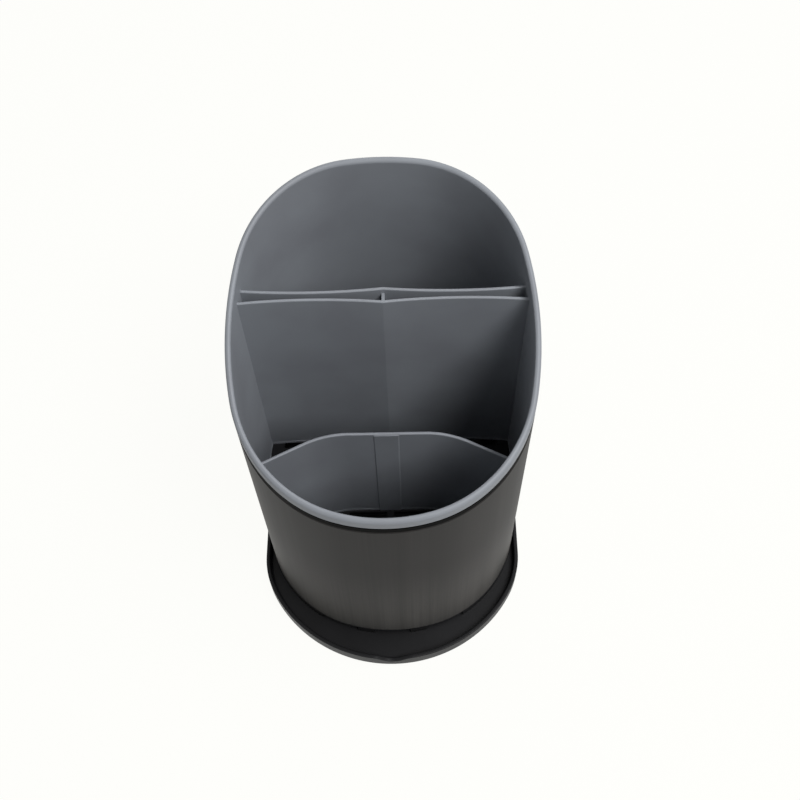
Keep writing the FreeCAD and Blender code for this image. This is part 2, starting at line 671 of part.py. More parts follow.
def make_tray():
    """Drip tray: sloped floor, seat and spigot for the sleeve, drain windows, bill and pouring notch."""
    stock = oval_prism("cavity_block", [TRAY_IN], "-Sizes.tray_height", "2 * Sizes.tray_height",
                       draw_tray_outline)
    cavity = common("tray_cavity", [stock, slant_box("above_floor", "Derived.floor_axis", "floor_slope")])
    seat = oval_prism("sleeve_seat", [SLEEVE_OUT, SPIGOT_IN], "-Sizes.tray_height + Sizes.seat_root",
                      "Sizes.tray_height - Sizes.seat_root")
    spigot = oval_prism("spigot", [SPIGOT_OUT, SPIGOT_IN], "-Sizes.window_bridge",
                        "Sizes.window_bridge + Sizes.spigot_height")
    shell = fuse("tray_shell", [cut("tray_hollow", tray_blank(), cavity), seat, spigot])
    boxes = []
    for window in range(WINDOWS):
        step = window - (WINDOWS - 1) / 2
        boxes.append(box(f"window_{window}",
                         (f"{step} * Sizes.window_step - Sizes.window_width / 2",
                          "-Sizes.sleeve_depth / 2 - Sizes.tray_step", "-Sizes.tray_height"),
                         ("Sizes.window_width", "Sizes.window_reach",
                          "Sizes.tray_height - Sizes.window_bridge")))
    windows = common("drain_windows", [fuse("window_boxes", boxes), cavity])
    pockets = [cylinder(f"{name}_pocket", "Sizes.foot_diameter / 2 + Sizes.foot_gap",
                        "Sizes.tray_height + Sizes.foot_depth - Sizes.foot_proud",
                        (across, along, "-2 * Sizes.tray_height")) for name, across, along in foot_places()]
    hollows = fuse("tray_hollows", [windows, make_spout(), make_underside(), *pockets])
    return settle(cut("tray_cut", shell, hollows), "base_tray")


def make_foot(name, across, along):
    """Rubber pad pressed into the tray, with a soft lower edge."""
    foot = "-Sizes.tray_height - Sizes.foot_proud"
    disc = cylinder(name + "_disc", "Sizes.foot_diameter / 2", "Sizes.foot_depth", (across, along, foot))
    lower = -size["tray_height"] - size["foot_proud"]
    return settle(bevelled(name + "_pad", disc, lambda point: point.z - lower, "foot_bevel"), name)


def check_and_write(pieces):
    """Stop on any failed object, then write one file for each piece."""
    doc.recompute()
    for item in doc.Objects:
        if "Invalid" in item.State or "Error" in item.State:
            raise RuntimeError(f"{item.Label} failed: {item.State}")
    for piece in pieces:
        if piece.Shape.isNull() or not piece.Shape.isValid() or len(piece.Shape.Solids) != 1:
            raise RuntimeError(f"{piece.Label} is not one valid solid")
    os.makedirs("parts", exist_ok=True)
    for piece in pieces:
        piece.Shape.exportStep(f"parts/{piece.Label}.step")
        print(piece.Label, "volume", round(piece.Shape.Volume, 1))


finished = [make_tray(), make_sleeve(), make_liner(), make_plate()]
finished += [make_foot(*place) for place in foot_places()]
check_and_write(finished)
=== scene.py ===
"""Cutlery drainer: its visible pieces and a studio stage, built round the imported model.

Lengths are in metres. Pieces are drawn with z = 0 at the edge that the sleeve stands on and are then moved
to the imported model's frame, where z = 0 is the worktop and -Y is the low front.
"""
import math
from typing import NamedTuple

import bmesh
import bpy
import numpy as np
from bpy.props import FloatProperty, FloatVectorProperty, IntProperty, PointerProperty
from bpy.types import Node, NodeSocket, Operator, Panel, PropertyGroup
from mathutils import Matrix, Vector


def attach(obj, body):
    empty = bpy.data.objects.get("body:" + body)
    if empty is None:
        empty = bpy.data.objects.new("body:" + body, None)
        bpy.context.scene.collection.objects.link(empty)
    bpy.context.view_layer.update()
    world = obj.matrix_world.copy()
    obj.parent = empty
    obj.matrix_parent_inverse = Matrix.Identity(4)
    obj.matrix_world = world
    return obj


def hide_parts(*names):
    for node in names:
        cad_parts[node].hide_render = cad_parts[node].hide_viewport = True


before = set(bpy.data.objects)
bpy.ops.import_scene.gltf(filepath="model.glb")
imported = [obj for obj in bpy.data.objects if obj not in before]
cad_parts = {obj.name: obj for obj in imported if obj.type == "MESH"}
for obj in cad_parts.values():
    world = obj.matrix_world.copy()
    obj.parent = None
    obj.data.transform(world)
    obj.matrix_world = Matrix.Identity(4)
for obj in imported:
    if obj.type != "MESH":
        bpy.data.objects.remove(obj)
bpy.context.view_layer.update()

bl_info = {
    "name": "Cutlery Drainer",
    "version": (1, 0, 0),
    "blender": (4, 5, 0),
    "location": "3D View > Sidebar > Drainer",
    "description": "Builds a cutlery drainer's pieces and a studio stage",
    "category": "Object",
}

MM = 0.001
OUTLINE_STEP = 1.3 * MM
ROUND_STEPS = 5
DISC_POINTS = 64
SHARP_ANGLE = math.radians(34)
MERGE_DISTANCE = 0.002 * MM
VALUE_SOCKETS = {float: "NodeSocketFloat", int: "NodeSocketInt", tuple: "NodeSocketVector"}
FEET = [f"foot_{end}_{side}" for end in ("front", "rear") for side in ("left", "right")]


def linear(code):
    """Linear colour from an sRGB hex code."""
    channels = [int(code[place:place + 2], 16) / 255 for place in (0, 2, 4)]
    return [c / 12.92 if c <= 0.04045 else ((c + 0.055) / 1.055) ** 2.4 for c in channels] + [1.0]


def length(millimetres, **texts):
    return FloatProperty(default=millimetres * MM, precision=5, unit="LENGTH", **texts)


def angle(degrees, **texts):
    return FloatProperty(default=math.radians(degrees), subtype="ANGLE", **texts)


def number(default, **texts):
    return IntProperty(default=default, min=1, **texts)


def tint(code, **texts):
    return FloatVectorProperty(default=linear(code), size=4, min=0.0, max=1.0, subtype="COLOR", **texts)


def titled(kind, **rows):
    """Properties of one kind from their defaults and descriptions, with titles made from their names."""
    return {key: kind(default, name=key.replace("_", " ").capitalize(), description=about)
            for key, (default, about) in rows.items()}


class DrainerSizes(PropertyGroup):
    """Sizes of the drainer's pieces."""

    __annotations__ = titled(
        length,
        sleeve_width=(127.0, "Across the outside of the sleeve"),
        sleeve_depth=(145.2, "Sleeve's outside from front to back"),
        side_radius=(140.0, "Radius of the sleeve's side arcs"),
        front_bow=(32.7, "Bow of the front arc over the width"),
        back_bow=(16.6, "Bow of the back arc over the width"),
        rim_height=(153.8, "Rim's top over the sleeve's foot, on the axis"),
        rim_band=(5.0, "Height of the band above the sleeve"),
        rim_gap=(1.3, "Shadow gap between the band and the sleeve"),
        rim_round=(1.35, "Radius of the band's outer upper edge"),
        rim_inside=(1.2, "Radius of the band's inner upper edge"),
        sleeve_wall=(0.7, "Thickness of the steel"),
        # The hem's set-back step is real; its black is painted shade that stands in for the shadow in the
        # gap under the rim
        hem_height=(3.0, "Dark hem along the slanted edge"),
        hem_slope=(0.5, "Sloped step below the hem"),
        hem_depth=(0.3, "How far the hem is set back"),
        # Painted light: the coat is painted paler towards the foot, to lift the shade that the black tray
        # throws on the sleeve
        foot_fade=(85.0, "Height in which the coat turns paler"),
        sleeve_round=(0.25, "Radius of the steel's lower edges"),
        liner_gap=(0.35, "Clearance between sleeve and liner"),
        liner_wall=(1.55, "Thickness of the liner's shell"),
        spigot_gap=(0.3, "Clearance between sleeve and spigot"),
        spigot_wall=(1.5, "Thickness of the tray's spigot"),
        spigot_height=(6.0, "Spigot's height in the sleeve"),
        floor_height=(30.0, "Top of the ledges in the compartments"),
        ledge_width=(0.16, "How far the ledges stand out"),
        ledge_depth=(1.6, "Thickness of the ledges"),
        bead_width=(0.6, "How far the drain plate's bead stands out"),
        bead_depth=(1.0, "Height of the drain plate's bead"),
        divider_wall=(1.4, "Thickness of the dividers"),
        divider_root=(0.7, "Dividers' ends from the liner's outside"),
        divider_round=(0.5, "Radius of the dividers' upper edges"),
        knife_plane=(20.3, "Middle of the knife slots behind the axis"),
        knife_pinch=(1.8, "Half the least distance between the knife walls"),
        knife_crown=(31.0, "Knife walls' narrowest place from the middle"),
        knife_radius=(310.0, "Radius of the bowed knife walls"),
        knife_drop=(8.8, "Knife walls' top below the rim's plane"),
        rib_drop=(2.6, "Top of the rib below the knife walls"),
        front_plane=(20.2, "Front divider's flat middle before the axis"),
        front_drop=(40.8, "Front divider's top below the rim's plane"),
        bend_start=(16.4, "Where the front divider starts to bend"),
        bend_radius=(42.0, "Radius of the front divider's bends"),
        strip_width=(11.2, "Width of the front divider's strip"),
        strip_relief=(0.35, "How far the strip stands out"),
        strip_bevel=(0.5, "Width of the strip's bevelled edges"),
        strip_drop=(0.6, "Top of the strip below the divider's top"),
        plate_depth=(2.2, "Thickness of the drain plate"),
        plate_gap=(0.15, "Clearance round the drain plate"),
        plate_border=(6.0, "Plain border of the drain plate"),
        slot_width=(4.0, "Width of the drain slots"),
        slot_step=(8.0, "Distance between rows of slots"),
        slot_round=(0.8, "Radius of the slots' corners"),
        web_width=(3.0, "Width of the webs that cross the slots"),
        web_step=(22.0, "Distance between the webs"),
        tray_step=(0.6, "Tray's step out from the sleeve"),
        tray_wall=(2.0, "Thickness of the tray's wall"),
        tray_height=(8.6, "Height of the tray under the sleeve"),
        tray_round=(1.0, "Radius of the tray's lower edge"),
        lip_round=(0.55, "Radius of the tray's upper edges"),
        bill_overhang=(14.1, "Tray's reach in front of the sleeve"),
        bill_depth=(54.0, "Length of the tray's rounded bill"),
        bill_corner=(41.0, "Radius of the bill's corners"),
        floor_lift=(4.6, "Tray floor over the tray's foot, on the axis"),
        floor_wall=(2.2, "Thickness of the tray floor"),
        seat_root=(2.0, "Foot of the seat over the tray's foot"),
        recess_margin=(4.0, "Border of the hollow under the tray"),
        window_width=(18.0, "Width of the drain windows in the seat"),
        window_step=(26.0, "Distance between the drain windows"),
        window_bridge=(1.2, "Seat left above the drain windows"),
        window_reach=(18.0, "Length of the drain windows' cut"),
        spout_radius=(9.0, "Radius of the pouring notch"),
        spout_shoulder=(6.0, "Radius of the notch's rolled shoulders"),
        spout_depth=(3.2, "Depth of the pouring notch"),
        foot_diameter=(12.0, "Diameter of a rubber foot"),
        foot_depth=(2.2, "Thickness of a rubber foot"),
        foot_proud=(1.0, "How far a foot stands out of the tray"),
        foot_round=(0.5, "Radius of a foot's lower edge"),
        foot_gap=(0.1, "Clearance round a foot"),
        foot_boss=(17.0, "Diameter of the boss round a foot"),
        foot_inset_side=(25.5, "Feet from the sleeve's sides"),
        foot_inset_front=(26.6, "Front feet from the sleeve's front"),
        foot_inset_rear=(28.6, "Rear feet from the sleeve's back"),
    ) | titled(
        angle,
        front_turn=(10.4, "Where the side arcs meet the front corners"),
        back_turn=(13.2, "Where the side arcs meet the back corners"),
        slant=(18.0, "Slope of the rim from front to back"),
        wing=(27.0, "Turn of the front divider's ends"),
        floor_slope=(1.5, "Fall of the tray floor to the front"),
    ) | titled(
        number,
        slot_rows=(19, "Rows of drain slots"),
        slot_columns=(6, "Drain slots in a row"),
    )


class DrainerColours(PropertyGroup):
    """Colours of the drainer's finishes and of the stage."""

    __annotations__ = titled(
        tint,
        liner=("8d9197", "Grey of the moulded liner"),
        liner_cloud=("84878d", "Darker clouds in the liner's grey"),
        steel=("2b2a29", "Dark coat on the brushed steel"),
        steel_streak=("393736", "Paler streaks left by the brushing"),
        # Painted light: paler coat colours towards the foot, which lift the shade of the black tray below
        steel_foot=("4f4e4c", "Paler coat towards the foot"),
        steel_foot_streak=("615f5d", "Streaks in the paler coat"),
        # Painted shade: black painted on the hem as the shadow in the gap under the rim
        steel_edge=("040404", "Black of the hem along the slanted edge"),
        steel_gloss=("bcbcbc", "Grey of the coat's dull highlight"),
        tray=("161617", "Black of the tray and drain plate"),
        tray_scuff=("1e1e20", "Greyer grain in the black moulding"),
        rubber=("161616", "Black of the feet"),
        rubber_bloom=("222222", "Greyish bloom on the feet"),
        floor=("fffffc", "Pale studio floor"),
        floor_shade=("c0c0bd", "Grey that the floor throws back"),
    )


class Outline(NamedTuple):
    """Points round a closed outline, anticlockwise, and the outward direction at each."""

    points: np.ndarray
    outward: np.ndarray

    def grown(self, distance):
        return self.points + distance * self.outward


def arc_run(centre, radius, start, end):
    """Outline run along an arc, up to but without its end."""
    count = max(3, math.ceil(radius * abs(end - start) / OUTLINE_STEP))
    turns = np.linspace(start, end, count, endpoint=False)
    outward = np.stack([np.cos(turns), np.sin(turns)], axis=1)
    return np.array(centre) + radius * outward, outward


def mirror_run(centre, radius, start, end):
    """Outline run along the mirror image of an arc, from its end to its start."""
    return arc_run((-centre[0], centre[1]), radius, math.pi - end, math.pi - start)


def line_run(first, last):
    """Outline run along a straight line, up to but without its end."""
    first, last = np.array(first), np.array(last)
    span = last - first
    reach = math.hypot(*span)
    shares = np.linspace(0, 1, max(2, math.ceil(reach / OUTLINE_STEP)), endpoint=False)[:, None]
    outward = np.array([span[1], -span[0]]) / reach
    return first + shares * span, np.tile(outward, (len(shares), 1))


def closed_outline(runs):
    return Outline(*(np.concatenate(column) for column in zip(*runs)))


def direction(here, there):
    return math.atan2(there[1] - here[1], there[0] - here[0])


def corner_arc(side, side_radius, turn, end, end_radius):
    """Centre and radius of the corner that joins a side arc, at an angle, to an end arc."""
    lean = np.array([math.cos(turn), math.sin(turn)])
    apart = np.array(side) + side_radius * lean - np.array(end)
    radius = (end_radius ** 2 - apart @ apart) / (2 * (end_radius - apart @ lean))
    return tuple(np.array(side) + (side_radius - radius) * lean), radius


class Layout:
    """Outlines, offsets and heights that the pieces share."""

    def __init__(self, scene):
        s = self.sizes = scene.drainer_sizes
        self.stand = Vector((0, s.bill_overhang / 2, s.tray_height + s.foot_proud))
        self.rise = math.tan(s.slant)
        self.fall = math.tan(s.floor_slope)
        self.sleeve_top = s.rim_height - s.rim_band - s.rim_gap
        self.sleeve_in = -s.sleeve_wall
        self.liner_out = self.sleeve_in - s.liner_gap
        self.liner_in = self.liner_out - s.liner_wall
        self.root = self.liner_out - s.divider_root
        self.spigot_out = self.sleeve_in - s.spigot_gap
        self.spigot_in = self.spigot_out - s.spigot_wall
        self.plate_top = s.floor_height - s.ledge_depth
        self.plate_foot = self.plate_top - s.plate_depth
        self.knife_top = s.rim_height + s.knife_plane * self.rise - s.knife_drop
        self.front_top = s.rim_height - s.front_plane * self.rise - s.front_drop
        self.floor_axis = s.floor_lift - s.tray_height
        self.below_tray = -2 * s.tray_height
        self.foot_side = s.sleeve_width / 2 - s.foot_inset_side
        self.foot_front = s.sleeve_depth / 2 - s.foot_inset_front
        self.foot_rear = s.sleeve_depth / 2 - s.foot_inset_rear
        self.foot_places = [(across, along) for along in (-self.foot_front, self.foot_rear)
                            for across in (-self.foot_side, self.foot_side)]
        self.side = (s.sleeve_width / 2 - s.side_radius, 0.0)
        self.oval = self.sleeve_oval()
        self.tray = self.tray_outline()

    def end_radius(self, bow):
        half = self.sizes.sleeve_width / 2
        return (half * half + bow * bow) / (2 * bow)

    def back_runs(self):
        """The oval's back half between its side arcs, from right to left."""
        s = self.sizes
        radius = self.end_radius(s.back_bow)
        back = (0.0, s.sleeve_depth / 2 - radius)
        corner, corner_radius = corner_arc(self.side, s.side_radius, s.back_turn, back, radius)
        turn = direction(back, corner)
        bend = (corner, corner_radius, s.back_turn, turn)
        return [arc_run(*bend), arc_run(back, radius, turn, math.pi - turn), mirror_run(*bend)]

    def sleeve_oval(self):
        s = self.sizes
        radius = self.end_radius(s.front_bow)
        front = (0.0, radius - s.sleeve_depth / 2)
        corner, corner_radius = corner_arc(self.side, s.side_radius, -s.front_turn, front, radius)
        turn = direction(front, corner)
        side = (self.side, s.side_radius, -s.front_turn, s.back_turn)
        bend = (corner, corner_radius, turn, -s.front_turn)
        return closed_outline([
            arc_run(*side), *self.back_runs(), mirror_run(*side), mirror_run(*bend),
            arc_run(front, radius, math.pi - turn, 2 * math.pi + turn), arc_run(*bend)])

    def tray_outline(self):
        """The oval's back half, straight sides, and the bill in front."""
        s = self.sizes
        half = s.sleeve_width / 2
        line = s.bill_depth - s.bill_overhang - s.sleeve_depth / 2
        corner = (half - s.bill_corner, line)
        apart = corner[0] ** 2 + s.bill_depth ** 2 - s.bill_corner ** 2
        radius = apart / (2 * (s.bill_depth - s.bill_corner))
        tip = (0.0, line - s.bill_depth + radius)
        turn = direction(tip, corner)
        side = (self.side, s.side_radius, 0, s.back_turn)
        bend = (corner, s.bill_corner, turn, 0)
        return closed_outline([
            arc_run(*side), *self.back_runs(), mirror_run(*side), line_run((-half, 0), (-half, line)),
            mirror_run(*bend), arc_run(tip, radius, math.pi - turn, 2 * math.pi + turn), arc_run(*bend),
            line_run((half, line), (half, 0))])

    def trimmed(self, path):
        """Right half of a path, ended inside the liner's wall, and its mirror image."""
        wall = self.oval.grown(self.root)
        right = wall[wall[:, 0] > 0]
        across, along = right[np.argsort(right[:, 1])].T
        kept = [(x, y) for x, y in path if x < np.interp(y, along, across)]
        return [(-x, y) for x, y in reversed(kept[1:])] + kept


def softened(corners, closed=True):
    """Profile points from corners (across, up, radius, tags), with arcs in place of the corners."""
    points = []
    count = len(corners)
    for place, (across, up, radius, *tags) in enumerate(corners):
        here = np.array([across, up])
        if radius == 0 or not closed and place in (0, count - 1):
            points.append((across, up, *tags))
            continue
        back, ahead = (np.array(corners[(place + step) % count][:2]) - here for step in (-1, 1))
        back, ahead = back / math.hypot(*back), ahead / math.hypot(*ahead)
        half = math.acos(max(-1.0, min(1.0, float(back @ ahead)))) / 2
        middle = back + ahead
        centre = here + middle / math.hypot(*middle) * radius / math.sin(half)
        first = here + back * radius / math.tan(half) - centre
        last = here + ahead * radius / math.tan(half) - centre
        start = math.atan2(first[1], first[0])
        sweep = (math.atan2(last[1], last[0]) - start + math.pi) % (2 * math.pi) - math.pi
        for share in np.linspace(0, 1, ROUND_STEPS):
            turn = start + share * sweep
            points.append((centre[0] + radius * math.cos(turn), centre[1] + radius * math.sin(turn), *tags))
    return points


def quad_faces(rows, columns, wrap_rows, wrap_columns):
    """Quads between neighbouring points of a grid that may close on itself either way."""
    faces = []
    for row in range(rows if wrap_rows else rows - 1):
        for column in range(columns if wrap_columns else columns - 1):
            below, beside = (row + 1) % rows, (column + 1) % columns
            faces.append((row * columns + column, row * columns + beside,
                          below * columns + beside, below * columns + column))
    return faces


def swept_rings(outline, profile):
    """Rings of points round an outline. A profile point says how far out and how high its ring is, the slope
    that the height follows, and any dip in it."""
    rings = []
    for grow, up, slope, *dips in profile:
        plan = outline.grown(grow)
        rings.append(np.column_stack([plan, up + slope * plan[:, 1] + sum(dip(plan) for dip in dips)]))
    return rings


def swept_ring(outline, corners):
    """Closed profile swept round an outline."""
    rings = swept_rings(outline, softened(corners))
    return np.concatenate(rings), quad_faces(len(rings), len(outline.points), True, True)


def swept_bowl(outline, corners):
    """Open profile swept round an outline, with its first and last ring filled in."""
    rings = swept_rings(outline, softened(corners, closed=False))
    count = len(outline.points)
    total = len(rings) * count
    faces = quad_faces(len(rings), count, False, True)
    for ring, centre in ((0, total), (total - count, total + 1)):
        faces += [(ring + place, ring + (place + 1) % count, centre) for place in range(count)]
    return np.concatenate([*rings, [rings[0].mean(axis=0), rings[-1].mean(axis=0)]]), faces


def swept_wall(path, corners):
    """Closed upright section carried along an open path, with flat ends."""
    points = np.array(path)
    ahead = np.gradient(points, axis=0)
    ahead /= np.hypot(ahead[:, 0], ahead[:, 1])[:, None]
    side = np.column_stack([-ahead[:, 1], ahead[:, 0]])
    count = len(points)
    rows = [np.column_stack([points + across * side, np.full(count, up)])
            for across, up in softened(corners)]
    faces = quad_faces(len(rows), count, True, False)
    faces += [[row * count + end for row in range(len(rows))] for end in (0, count - 1)]
    return np.concatenate(rows), faces


def prism(plan, low, high, low_slope=0.0, high_slope=0.0):
    """Upright block over a plan, with ends that may slope from front to back."""
    plan = np.array(plan)
    count = len(plan)
    ends = [np.column_stack([plan, up + slope * plan[:, 1]]) for up, slope in
            ((low, low_slope), (high, high_slope))]
    faces = quad_faces(2, count, False, True)
    return np.concatenate(ends), faces + [list(range(count)), list(range(count, 2 * count))]


def disc(centre, radius):
    turns = np.linspace(0, 2 * math.pi, DISC_POINTS, endpoint=False)
    return np.array(centre) + radius * np.column_stack([np.cos(turns), np.sin(turns)])


def solid(name, shape):
    """Object with a closed mesh whose faces point outwards."""
    points, faces = shape
    mesh = bpy.data.meshes.new(name)
    mesh.from_pydata([tuple(point) for point in points], [], faces)
    shell = bmesh.new()
    shell.from_mesh(mesh)
    bmesh.ops.remove_doubles(shell, verts=shell.verts, dist=MERGE_DISTANCE)
    bmesh.ops.recalc_face_normals(shell, faces=shell.faces)
    shell.to_mesh(mesh)
    shell.free()
    made = bpy.data.objects.new(name, mesh)
    bpy.context.scene.collection.objects.link(made)
    return made


def settle(made):
    """Turn an object's evaluated shape into its own plain mesh."""
    shape = made.evaluated_get(bpy.context.evaluated_depsgraph_get())
    mesh = bpy.data.meshes.new_from_object(shape)
    made.modifiers.clear()
    made.data = mesh


def work(made, operation, *tools):
    """Join solids to an object or cut them out of it."""
    for tool in tools:
        step = made.modifiers.new("work", "BOOLEAN")
        step.operation = operation
        step.solver = "MANIFOLD"
        step.object = tool
        settle(made)
        bpy.data.objects.remove(tool)


def dress(made, make, stand, body, nodes):
    """Finish a piece: place, shading, material, and what it stands for."""
    mesh = made.data
    mesh.transform(Matrix.Translation(stand))
    shell = bmesh.new()
    shell.from_mesh(mesh)
    bmesh.ops.remove_doubles(shell, verts=shell.verts, dist=MERGE_DISTANCE)
    bmesh.ops.dissolve_degenerate(shell, edges=shell.edges, dist=MERGE_DISTANCE)
    # Faces with many corners are split into triangles here: filled in some other way, they lay slivers over
    # the drain slots' ends
    many_sided = [face for face in shell.faces if len(face.verts) > 4]
    bmesh.ops.triangulate(shell, faces=many_sided, ngon_method="BEAUTY")
    for face in shell.faces:
        face.smooth = True
    for edge in shell.edges:
        edge.smooth = len(edge.link_faces) == 2 and edge.calc_face_angle(0.0) < SHARP_ANGLE
    if any(len(edge.link_faces) != 2 for edge in shell.edges):
        raise RuntimeError(f"{made.name} isn't a closed shell")
    shell.to_mesh(mesh)
    shell.free()
    even = made.modifiers.new("even_shading", "WEIGHTED_NORMAL")
    even.keep_sharp = True
    settle(made)
    made.data.materials.clear()
    made.data.materials.append(finish_named(make))
    made.data.name = made.name
    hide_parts(*nodes)
    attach(made, body)


def node(tree, kind, inputs=None, **settings):
    """Add a node, its kind given without the tree's prefix, with its settings, and set or link its inputs.
    A node given as an input stands for its first output in use."""
    prefix = "Node" if kind.startswith("Group") else tree.bl_idname.removesuffix("Tree")
    made = tree.nodes.new(prefix + kind)
    for key, value in settings.items():
        setattr(made, key, value)
    for key, value in (inputs or {}).items():
        for item in value if isinstance(value, list) else [value]:
            if isinstance(item, Node):
                item = next(socket for socket in item.outputs if socket.enabled)
            if isinstance(item, NodeSocket):
                tree.links.new(item, made.inputs[key])
            else:
                made.inputs[key].default_value = item
    return made


def bare_tree(owner):
    """Emptied node tree of a material or a world."""
    owner.use_nodes = True
    owner.node_tree.nodes.clear()
    return owner.node_tree


def close_finish(tree, height, strength, depth, sockets):
    """Close a finish with its relief, its shader and its output."""
    relief = node(tree, "Bump", {"Height": height, "Strength": strength, "Distance": depth})
    shader = node(tree, "BsdfPrincipled", {"Normal": relief, **sockets})
    node(tree, "OutputMaterial", {"Surface": shader})


def per_metre(millimetres):
    """Texture scale whose pattern repeats about once in a length."""
    return 1 / (millimetres * MM)


def moulded_grey_polypropylene(tree, place, colours):
    """Polypropylene moulded in a spark-eroded tool: an even matte grey, faintly clouded, with a fine grain
    that spreads the highlight along the rim into a soft line."""
    clouds = node(tree, "TexNoise", {"Vector": place, "Scale": per_metre(35), "Detail": 3.0})
    grain = node(tree, "TexNoise", {"Vector": place, "Scale": per_metre(0.7), "Detail": 2.0})
    spread = node(tree, "MapRange", {"Value": clouds, "From Min": 0.35, "From Max": 0.65})
    colour = node(tree, "Mix", {"Factor": spread, "A": colours.liner, "B": colours.liner_cloud},
                  data_type="RGBA")
    rough = node(tree, "MapRange", {"Value": grain, "To Min": 0.44, "To Max": 0.58})
    close_finish(tree, grain, 0.12, 0.03 * MM, {
        "Base Color": colour, "Roughness": rough, "IOR": 1.49, "Specular IOR Level": 0.45})


def brushed_coated_steel(tree, place, colours):
    """Steel brushed from top to bottom under a thin, dull, dark coat: fine upright streaks, a black hem
    painted along the slanted edge as the shade in the gap under the rim, and painted light that turns the
    coat paler towards the foot over the shade of the black tray."""
    plan = Layout(bpy.context.scene)
    s = plan.sizes
    axes = node(tree, "SeparateXYZ", {"Vector": place}).outputs
    # Painted shade: mask of the hem, which is painted black as the shadow in the gap under the rim
    edge = plan.sleeve_top + plan.stand.z - plan.rise * plan.stand.y
    slanted = node(tree, "Math", {0: axes["Y"], 1: plan.rise, 2: edge}, operation="MULTIPLY_ADD")
    under = node(tree, "Math", {0: slanted, 1: axes["Z"]}, operation="SUBTRACT")
    fade = 0.05 * MM
    sheet = node(tree, "MapRange", {
        "Value": under, "From Min": s.hem_height - fade, "From Max": s.hem_height + fade})
    # Squeezed in height, so that each streak runs down the whole sheet
    drawn = node(tree, "Mapping", {"Vector": place, "Scale": (1.0, 1.0, 0.006)})
    # Real brush lines are about 0.1 mm apart, which the picture can't show, so these are 0.9 mm apart
    lines = node(tree, "TexNoise", {
        "Vector": drawn, "Scale": per_metre(0.9), "Detail": 3.0, "Roughness": 0.65})
    bands = node(tree, "TexNoise", {"Vector": drawn, "Scale": per_metre(14), "Detail": 1.0})
    both = node(tree, "Mix", {"Factor": 0.45, "A": lines, "B": bands})
    spread = node(tree, "MapRange", {"Value": both, "From Min": 0.36, "From Max": 0.64})
    upper = node(tree, "Mix", {"Factor": spread, "A": colours.steel, "B": colours.steel_streak},
                 data_type="RGBA")
    # Painted light: a paler coat towards the foot, to lift the shade and dark reflection of the black tray
    # below
    lower = node(tree, "Mix", {
        "Factor": spread, "A": colours.steel_foot, "B": colours.steel_foot_streak}, data_type="RGBA")
    paler = node(tree, "MapRange", {
        "Value": axes["Z"], "From Min": plan.stand.z + s.foot_fade, "From Max": plan.stand.z},
        interpolation_type="SMOOTHSTEP")
    coat = node(tree, "Mix", {"Factor": paler, "A": upper, "B": lower}, data_type="RGBA")
    # The hem takes the painted shade's black and the rest takes the coat
    colour = node(tree, "Mix", {"Factor": sheet, "A": colours.steel_edge, "B": coat}, data_type="RGBA")
    rough = node(tree, "MapRange", {"Value": lines, "To Min": 0.42, "To Max": 0.56})
    # Less gloss on the hem keeps its painted shade dark
    gloss = node(tree, "MapRange", {"Value": sheet, "To Min": 0.02, "To Max": 0.1})
    close_finish(tree, lines, 0.1, 0.02 * MM, {
        "Base Color": colour, "Metallic": 0.1, "Roughness": rough, "Specular IOR Level": gloss,
        "Specular Tint": colours.steel_gloss})


def moulded_black_polypropylene(tree, place, colours):
    """Black polypropylene from a lightly polished tool: deep black with a satin gloss on its edges and a
    faint greyish grain."""
    grain = node(tree, "TexNoise", {"Vector": place, "Scale": per_metre(0.8), "Detail": 2.0})
    clouds = node(tree, "TexNoise", {"Vector": place, "Scale": per_metre(25), "Detail": 3.0})
    colour = node(tree, "Mix", {"Factor": clouds, "A": colours.tray, "B": colours.tray_scuff},
                  data_type="RGBA")
    rough = node(tree, "MapRange", {"Value": clouds, "To Min": 0.36, "To Max": 0.48})
    close_finish(tree, grain, 0.1, 0.03 * MM, {
        "Base Color": colour, "Roughness": rough, "IOR": 1.49, "Specular IOR Level": 0.15})


def moulded_rubber(tree, place, colours):
    """Moulded rubber: dull black with a greyish bloom and no clear highlight."""
    bloom = node(tree, "TexNoise", {"Vector": place, "Scale": per_metre(3), "Detail": 4.0})
    colour = node(tree, "Mix", {"Factor": bloom, "A": colours.rubber, "B": colours.rubber_bloom},
                  data_type="RGBA")
    rough = node(tree, "MapRange", {"Value": bloom, "To Min": 0.75, "To Max": 0.9})
    close_finish(tree, bloom, 0.15, 0.05 * MM, {
        "Base Color": colour, "Roughness": rough, "IOR": 1.52, "Specular IOR Level": 0.3})


def finish_named(make):
    """The material whose nodes a function makes, named for the function and made once."""
    finish = bpy.data.materials.get(make.__name__)
    if not finish:
        finish = bpy.data.materials.new(make.__name__)
        tree = bare_tree(finish)
        make(tree, node(tree, "TexCoord").outputs["Object"], bpy.context.scene.drainer_colours)
    return finish


def grow_from(made, build, values):
    """Build a node tree with an input for each value, run it on an object and keep the shape as its mesh."""
    tree = bpy.data.node_groups.new(build.__name__, "GeometryNodeTree")
    add = tree.interface.new_socket
    for way in ("INPUT", "OUTPUT"):
        add("Geometry", in_out=way, socket_type="NodeSocketGeometry")
    keys = []
    for title, value in values.items():
        keys.append(add(title, in_out="INPUT", socket_type=VALUE_SOCKETS[type(value)]).identifier)
    given = node(tree, "GroupInput").outputs
    real = node(tree, "RealizeInstances", {"Geometry": build(tree, given)})
    node(tree, "GroupOutput", {"Geometry": real})
    step = made.modifiers.new(tree.name, "NODES")
    step.node_group = tree
    for key, value in zip(keys, values.values()):
        step[key] = value
    settle(made)


